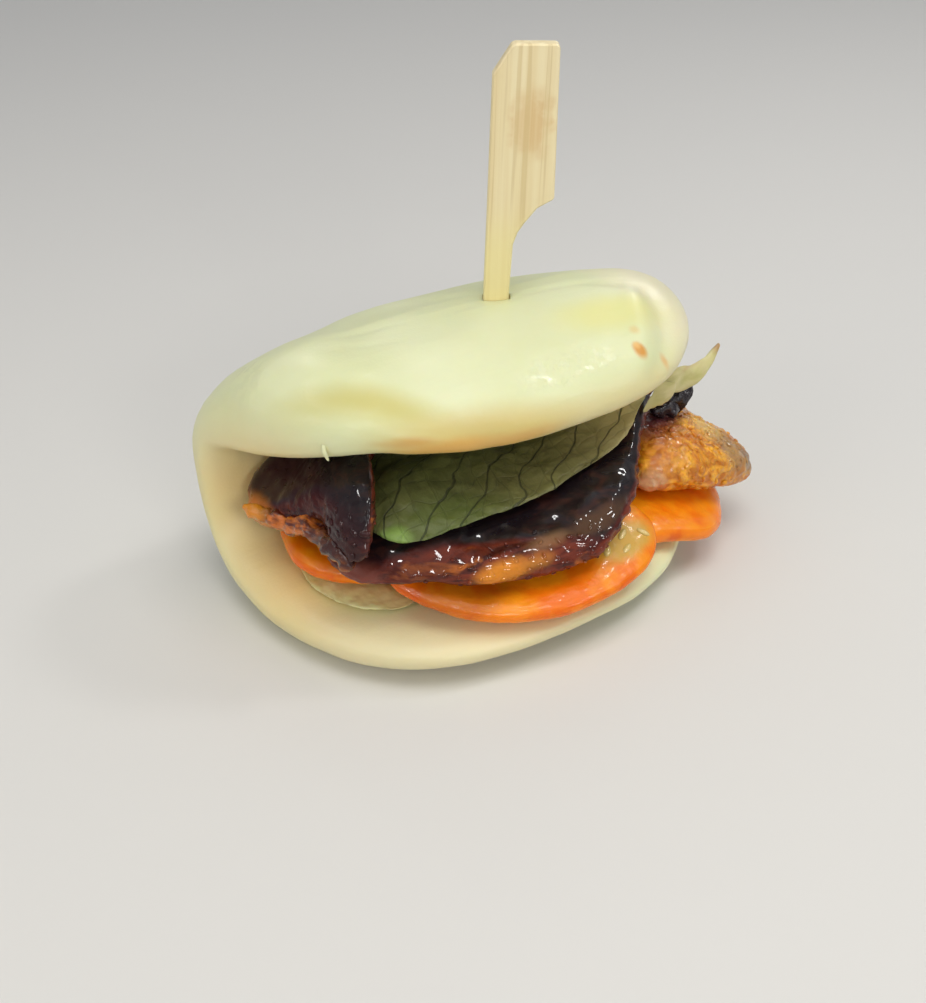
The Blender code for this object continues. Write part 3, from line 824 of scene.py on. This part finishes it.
# %% Tomato
JELLY_CENTRE = (9.5, -31, 18)
tomato, tree, shader = new_finish("tomato")
side = side_of(tree)
pulp = mottle(tree, 160.0, 5.0)
flesh = blend(tree, spread(tree, pulp, 0.35, 0.65), (0.86, 0.17, 0.002), (0.94, 0.30, 0.006))
skin_tone = blend(tree, spread(tree, pulp, 0.4, 0.6), (0.80, 0.14, 0.002), (0.92, 0.24, 0.006))
tone = blend(tree, side, flesh, skin_tone)
tone = stain_and_painted_light(tree, tone, (0.62, 0.36, 0.05), 1.0, JELLY_CENTRE, (7, 3.4, 6), 0.35, (0, 0, 12),
             ragged=3.0, ragged_size=260.0)
# painted shade and a painted dark red reflection under the pork's front edge, with pooled sauce
tone = stain_and_painted_light(tree, tone, (0.22, 0.015, 0.003), 0.5, (-26, -27, 18), (12, 6, 5), 0.4, (0, 0, -8),
             ragged=5.0, ragged_size=150.0)
fine = mottle(tree, 900.0, 2.0)
glow(shader, 0.2, (1.0, 0.3, 0.08), 0.004)
fill(tree, shader, Base_Color=tone, Roughness=spread(tree, side, 0.0, 1.0, 0.3, 0.2),
     Specular_IOR_Level=0.3, Coat_Weight=0.12, Coat_Roughness=0.06,
     Normal=bump(tree, fine, 0.08, below=bump(tree, pulp, 0.25)))
tomatoes = {
    place: make_slice("tomato_slice_" + place, "tomato_" + place, tomato,
                      (12.0, 0.35), (2.5, 0.08), seed, side_grain=0.4)
    for place, seed in (("front", 11.0), ("left", 12.0), ("right", 13.0))}

# %% [markdown]
# ### Lettuce
# One soft leaf lies over the pork.  Its blade is dark and crinkled between veins that
# branch from the rib, and it is brighter green where it thins towards its edge.  Its right
# end is paler, and lightened further as painted light against the shade of the bun.

# %% Lettuce
VEIN_SWAY = 9.0  # in millimetres
leaf, tree, shader = new_finish("lettuce")
sway = vector_maths(tree, "SCALE", mottle(tree, 70.0, 2.0, "Color"), VEIN_SWAY * MM)
swayed = vector_maths(tree, "ADD", on_piece(tree), sway)


def veins(turn, scale, wander, width):
    """Thin lines side by side that run along an axis turned by turn degrees."""
    laid = step(tree, "ShaderNodeMapping", {
        "Vector": swayed, "Rotation": (0, 0, math.radians(turn))}, vector_type="TEXTURE")
    wave = put(tree, "ShaderNodeTexWave", {"Vector": laid, "Scale": scale, "Distortion": wander,
               "Detail": 1.0, "Detail Scale": 1.5}, bands_direction="Y").outputs["Fac"]
    return spread(tree, wave, 1 - width, 1 - width * 0.2)


blade = mottle(tree, 300.0, 5.0)
tone = blend(tree, spread(tree, blade, 0.35, 0.7), (0.085, 0.092, 0.027), (0.150, 0.158, 0.050))
for mark in (  # colour, strength, centre, radii, softness
        # paler right end, lightened further as painted light against the shade of the bun's flap
        ((0.620, 0.500, 0.220), 0.85, (24, -13, 34), (16, 11, 8), 0.7),
        ((0.200, 0.175, 0.062), 0.6, (4, -17, 32), (16, 9, 8), 0.7),
        ((0.085, 0.115, 0.022), 0.7, (-28, -22, 31), (13, 5, 5), 0.6),
        ((0.230, 0.370, 0.080), 0.7, (-37.3, -21.5, 30.0), (3.8, 3.2, 2.8), 0.4)):
    tone = stain_and_painted_light(tree, tone, *mark, ragged=3.0)
ribs = veins(40, 50.0, 1.2, 0.013)
twigs = maths(tree, "MAXIMUM", veins(8, 90.0, 3.0, 0.03), veins(75, 70.0, 3.0, 0.03))
tone = blend(tree, times(tree, ribs, 0.6), tone, (0.012, 0.014, 0.007))
tone = blend(tree, times(tree, twigs, 0.13), tone, (0.014, 0.017, 0.008))
tone = stain_and_painted_light(tree, tone, (0.50, 0.46, 0.22), 0.9, (31, -11, 35), (6.5, 5, 6), 0.5)
crinkle = maths(tree, "SUBTRACT", blade, times(tree, ribs, 0.5))
crinkle = maths(tree, "SUBTRACT", crinkle, times(tree, twigs, 0.12))
glow(shader, 0.1, (0.5, 1.0, 0.2), 0.002)
fill(tree, shader, Base_Color=tone, Roughness=0.45, Specular_IOR_Level=0.3,
     Normal=bump(tree, crinkle, 0.45))
make_slice("lettuce_leaf", "lettuce", leaf, (9.0, 0.6), (3.0, 0.3), 21.0)

# %% Pale leaf
pale_leaf, tree, shader = new_finish("pale_leaf")
blade = fibres(tree, 300.0, (3, 1, 1), (0, 0, 15), 0.5)
tone = blend(tree, spread(tree, blade, 0.35, 0.7), (0.46, 0.42, 0.15), (0.62, 0.56, 0.27))
for mark in (  # colour, strength, centre, radii
        # the leaf below the pork, lightened as painted light against the shade it lies in
        ((0.72, 0.70, 0.34), 0.8, (-33, -10, 12), (14, 14, 5)),
        ((0.42, 0.24, 0.09), 0.9, (54.2, -4.5, 38.2), (2.2, 2.2, 2.2)),
        ((0.50, 0.34, 0.16), 0.6, (46.5, -8.5, 37.6), (7, 2, 0.5))):
    tone = stain_and_painted_light(tree, tone, *mark, soft=0.6)
glow(shader, 0.2, (0.6, 1.0, 0.2), 0.003)
fill(tree, shader, Base_Color=tone, Roughness=0.4, Normal=bump(tree, blade, 0.2))
make_slice("leaf_point", "leaf_tip", pale_leaf, (5.0, 0.1), (2.0, 0.05), 31.0,
           rounding=2)
make_slice("leaf_below", "leaf_under", pale_leaf, (5.0, 0.4), (2.0, 0.1), 32.0)

# %% [markdown]
# ## The pick
# A flat bamboo pick with a wide paddle for the fingers.  Its solid already has the right
# outline and edges, so it stays and only gets its finish: pale bamboo with straight fibres
# along its length, and one faint tea-coloured blotch on the paddle.

# %% Bamboo
LEAN_OF_PICK = (0, 3.9, -30)  # in degrees
bamboo, tree, shader = new_finish("bamboo")
strands = fibres(tree, 1100.0, (1, 1, 70), LEAN_OF_PICK, 0.0)
bands = fibres(tree, 480.0, (1, 1, 50), LEAN_OF_PICK, 0.0)
tone = blend(tree, spread(tree, bands, 0.3, 0.7), (0.78, 0.64, 0.36), (0.86, 0.75, 0.48))
tone = blend(tree, times(tree, spread(tree, strands, 0.54, 0.66), 0.45), tone, (0.62, 0.47, 0.22))
tone = stain_and_painted_light(tree, tone, (0.86, 0.76, 0.36), 0.6, (6, 6, 63), (12, 12, 10), 0.6)
blotch = spot(tree, (11.0, 3.0, 93.8), (4.2, 1.8, 6.2), 0.35, LEAN_OF_PICK, 7.0, 200.0)
tea = times(tree, blotch, spread(tree, strands, 0.35, 0.65, 0.65, 0.35))
tone = blend(tree, tea, tone, (0.66, 0.42, 0.17))
fill(tree, shader, Base_Color=tone, Roughness=spread(tree, bands, 0.3, 0.7, 0.45, 0.6),
     Specular_IOR_Level=0.4, Normal=bump(tree, strands, 0.1))
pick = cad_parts["pick"]
dress(pick, bamboo)

# %% [markdown]
# ## Small wet things
# Beads of sauce cling to the cut side of the pork, charred crumbs sit on its burnt edge,
# blisters cover its golden fat, and seeds lie in the tomato's jelly.  They are all the same
# job: small rounded bodies scattered over one area of a surface, so one Geometry Nodes tree
# makes them, each time with its own size, flatness and spacing.

# %% Geometry Nodes tree of the scatter
FULL_TURN, FACES_OF_BALL = 6.28, 320
AS_DENSE_AS_SPACING_LETS = 1e6
tree, given, out = new_group(
    "scattered_beads", "GeometryNodeTree",
    (("Surface", "Geometry"), ("Centre", "Vector", (0, 0, 0)),
     ("Radii", "Vector", (0.01, 0.01, 0.01)), ("Spacing", "Float", 0.002),
     ("Density", "Float", 100000.0), ("Seed", "Int", 1),
     ("Small", "Vector", (0.0003, 0.0003, 0.0002)),
     ("Large", "Vector", (0.0009, 0.0009, 0.0005)),
     ("Unevenness", "Float", 0.0), ("Finish", "Material")),
    (("Beads", "Geometry"),))
place = step(tree, "GeometryNodeInputPosition")
away = vector_maths(tree, "SUBTRACT", place, given["Centre"])
away = length(tree, vector_maths(tree, "DIVIDE", away, given["Radii"]))
near = step(tree, "FunctionNodeCompare", {"A": away, "B": 1.0}, operation="LESS_THAN")
dots = put(tree, "GeometryNodeDistributePointsOnFaces", {
    "Mesh": given["Surface"], "Selection": near, "Distance Min": given["Spacing"],
    "Density Max": given["Density"], "Seed": given["Seed"]}, distribute_method="POISSON")
ball = step(tree, "GeometryNodeMeshIcoSphere", {"Radius": 1.0, "Subdivisions": 3})
size = step(tree, "FunctionNodeRandomValue", {
    "Min": given["Small"], "Max": given["Large"], "Seed": given["Seed"]},
    data_type="FLOAT_VECTOR")
spin = step(tree, "FunctionNodeRandomValue", {
    "Min": (0, 0, 0), "Max": (0, 0, FULL_TURN), "Seed": given["Seed"]}, data_type="FLOAT_VECTOR")
turned = step(tree, "FunctionNodeRotateRotation", {
    "Rotation": dots.outputs["Rotation"], "Rotate By": spin}, rotation_space="LOCAL")
laid = step(tree, "GeometryNodeInstanceOnPoints", {
    "Points": dots.outputs["Points"], "Instance": ball, "Rotation": turned, "Scale": size})
real = step(tree, "GeometryNodeRealizeInstances", {"Geometry": laid})
rough = step(tree, "ShaderNodeTexNoise", {
    "Vector": step(tree, "GeometryNodeInputPosition"), "Scale": 900.0})
rough = times(tree, maths(tree, "SUBTRACT", rough, 0.5), given["Unevenness"])
shift = vector_maths(tree, "SCALE", step(tree, "GeometryNodeInputNormal"), rough)
real = step(tree, "GeometryNodeSetPosition", {"Geometry": real, "Offset": shift})
smooth = step(tree, "GeometryNodeSetShadeSmooth", {"Geometry": real})
done = step(tree, "GeometryNodeSetMaterial", {"Geometry": smooth, "Material": given["Finish"]})
tree.links.new(done, out["Beads"])
scatter_tree = tree


def scatter(name, surface, finish, seed, centre, radii, spacing, small, large, uneven=0.0):
    """Small bodies over part of a piece; all sizes in millimetres."""
    piece = new_piece(name, surface.data.copy())
    piece.data.materials.clear()
    vectors = {"Centre": centre, "Radii": radii, "Small": small, "Large": large}
    run_tree(piece, scatter_tree, {
        **{key: [v * MM for v in value] for key, value in vectors.items()},
        "Spacing": spacing * MM, "Unevenness": uneven * MM, "Seed": seed,
        "Density": AS_DENSE_AS_SPACING_LETS, "Finish": finish})
    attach(piece, "root")
    print(f"{name}: {len(piece.data.polygons) // FACES_OF_BALL} bodies")

# %% Sauce, char and seeds
scatter("sauce_beads", pork_front, glaze, 4, (-18, -31, 22), (28, 7, 5), 2.0,
        (0.3, 0.25, 0.15), (1.0, 0.7, 0.45))
scatter("sauce_beads_left", pork_left, glaze, 6, (-44, -17, 31), (6, 7, 8), 2.0,
        (0.3, 0.25, 0.15), (1.1, 0.8, 0.4))
char, tree, shader = new_finish("char")
soot = mottle(tree, 1200.0, 3.0)
fill(tree, shader, Base_Color=blend(tree, soot, (0.006, 0.005, 0.009), (0.032, 0.018, 0.024)),
     Roughness=spread(tree, soot, 0.3, 0.7, 0.12, 0.4), Normal=bump(tree, soot, 0.2))
scatter("char_crumbs", pork_right, char, 3, (36, 3, 30), (11, 6, 7), 2.0,
        (0.7, 0.5, 0.3), (1.9, 1.3, 0.8), 0.9)
scatter("golden_blisters", pork_right, golden, 8, (41, -15, 22), (14, 12, 8), 1.5,
        (0.3, 0.3, 0.15), (1.1, 0.9, 0.45), 0.4)
seed_finish, tree, shader = new_finish("tomato_seed")
tint = mottle(tree, 500.0, 2.0)
fill(tree, shader, Base_Color=blend(tree, tint, (0.62, 0.42, 0.10), (0.76, 0.58, 0.22)),
     Roughness=spread(tree, tint, 0.3, 0.7, 0.15, 0.3), Coat_Weight=0.6, Coat_Roughness=0.08)
scatter("tomato_seeds", tomatoes["front"], seed_finish, 9, JELLY_CENTRE,
        (5.5, 2.6, 4), 2.4, (1.1, 0.6, 0.35), (1.5, 0.8, 0.5))

# %% [markdown]
# ## Folds and slivers
# A ruffled rim of half-melted fat hangs from the pork at the left, a burnt fold of rind lies
# on the golden slice, a scrap of pale leaf shows under the bun's right end and a nib of dough
# has dried on the lower edge.  Each is a soft strand, so it is drawn as a path whose points
# carry their own radius, swollen and pinched by noise.

# %% Maker of soft strands
STRAND_STEPS, AROUND = 8, 16


def strand(name, finish, path, lumps, lump_size, flat=1.0):
    """A closed rounded body round a path of (x, y, z, radius), all in millimetres."""
    line = smooth_line(path, STRAND_STEPS)
    vertices, faces = [], []
    for i, ring in enumerate(line):
        before, after = line[max(i - 1, 0)], line[min(i + 1, len(line) - 1)]
        ahead = Vector(after[:3] - before[:3]).normalized()
        side = ahead.cross(Vector((0, 0, 1))).normalized()
        above = side.cross(ahead)
        for j in range(AROUND):
            angle = 2 * math.pi * j / AROUND
            spoke = (side * math.cos(angle) * flat + above * math.sin(angle)) * ring[3]
            swell = 1 + lumps * noise.noise((Vector(ring[:3]) + spoke) / lump_size)
            vertices.append(Vector(ring[:3]) + spoke * swell)
    last = len(line) - 1
    for i in range(last):
        near, far = i * AROUND, (i + 1) * AROUND
        for j in range(AROUND):
            k = (j + 1) % AROUND
            faces.append((near + j, near + k, far + k, far + j))
    faces.append(tuple(range(AROUND))[::-1])
    faces.append(tuple(last * AROUND + j for j in range(AROUND)))
    piece = new_piece(name, mesh_from(name, vertices, faces))
    dress(piece, finish)
    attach(piece, "root")
    print(f"{name}: {len(piece.data.polygons)} faces")

# %% Ruffled fat
rim_fat, tree, shader = new_finish("rim_fat")
streaks = fibres(tree, 420.0, (1, 3, 1), (0, 0, 20), 0.8)
tone = blend(tree, spread(tree, streaks, 0.42, 0.62), (0.10, 0.014, 0.006), (0.58, 0.15, 0.015))
tone = stain_and_painted_light(tree, tone, (0.74, 0.27, 0.012), 0.9, (-52.5, 10.5, 26.5), (3.6, 5, 3), 0.5,
             ragged=1.0, ragged_size=400.0)
tone = stain_and_painted_light(tree, tone, (0.030, 0.007, 0.006), 0.85, (-45, -13, 27), (3, 8, 4), 0.5,
             ragged=2.0, ragged_size=300.0)
glow(shader, 0.15, (1.0, 0.3, 0.1), 0.002)
fill(tree, shader, Base_Color=tone, Roughness=spread(tree, streaks, 0.3, 0.7, 0.12, 0.3),
     Specular_IOR_Level=0.2, Coat_Weight=0.9, Coat_Roughness=0.04, Coat_IOR=1.4,
     Normal=bump(tree, beads(tree, 700.0, 0.6), 0.5))
strand("fat_rim", rim_fat,
       ((-53.0, 11.0, 27.0, 0.5), (-52.0, 9.8, 26.5, 1.3), (-50.2, 7.6, 25.8, 1.5),
        (-48.6, 5.0, 25.6, 2.0), (-47.1, 1.5, 25.4, 1.9), (-45.7, -3.0, 27.2, 2.3),
        (-44.7, -7.0, 27.2, 2.1), (-44.9, -12.0, 27.6, 2.2), (-44.9, -15.5, 27.2, 1.9),
        (-44.7, -18.0, 25.9, 1.5), (-44.5, -18.6, 25.2, 0.6)), 0.5, 1.7)

# %% Burnt folds, scrap and nib
strand("burnt_fold", char,
       ((36.4, -6.0, 28.4, 0.6), (37.6, -5.6, 28.8, 1.9), (40.4, -4.6, 29.0, 2.6),
        (43.4, -3.6, 29.0, 3.3), (46.2, -2.8, 28.4, 2.7), (47.6, -2.8, 27.6, 0.8)), 0.6, 1.8)
strand("burnt_fold_inner", char,
       ((33.4, -9.0, 29.8, 0.5), (34.4, -8.4, 29.8, 1.3), (36.6, -8.0, 29.4, 1.8),
        (39.4, -7.8, 28.6, 1.6), (41.0, -7.6, 27.9, 0.5)), 0.6, 1.5)
strand("pale_scrap", pale_leaf,
       ((36.6, -11.6, 37.0, 0.6), (35.4, -11.9, 36.4, 1.9), (33.0, -12.1, 35.9, 2.7),
        (30.4, -12.2, 35.0, 1.8), (28.0, -13.0, 34.4, 0.9), (26.8, -13.6, 34.3, 0.3)),
       0.25, 1.5, 0.14)
strand("dough_nib", dough,
       ((-42.8, -8.6, 49.4, 0.8), (-43.6, -9.9, 48.1, 0.6), (-44.1, -10.8, 46.9, 0.45),
        (-43.8, -11.0, 45.6, 0.34), (-43.5, -11.0, 44.8, 0.15)), 0.3, 1.0)
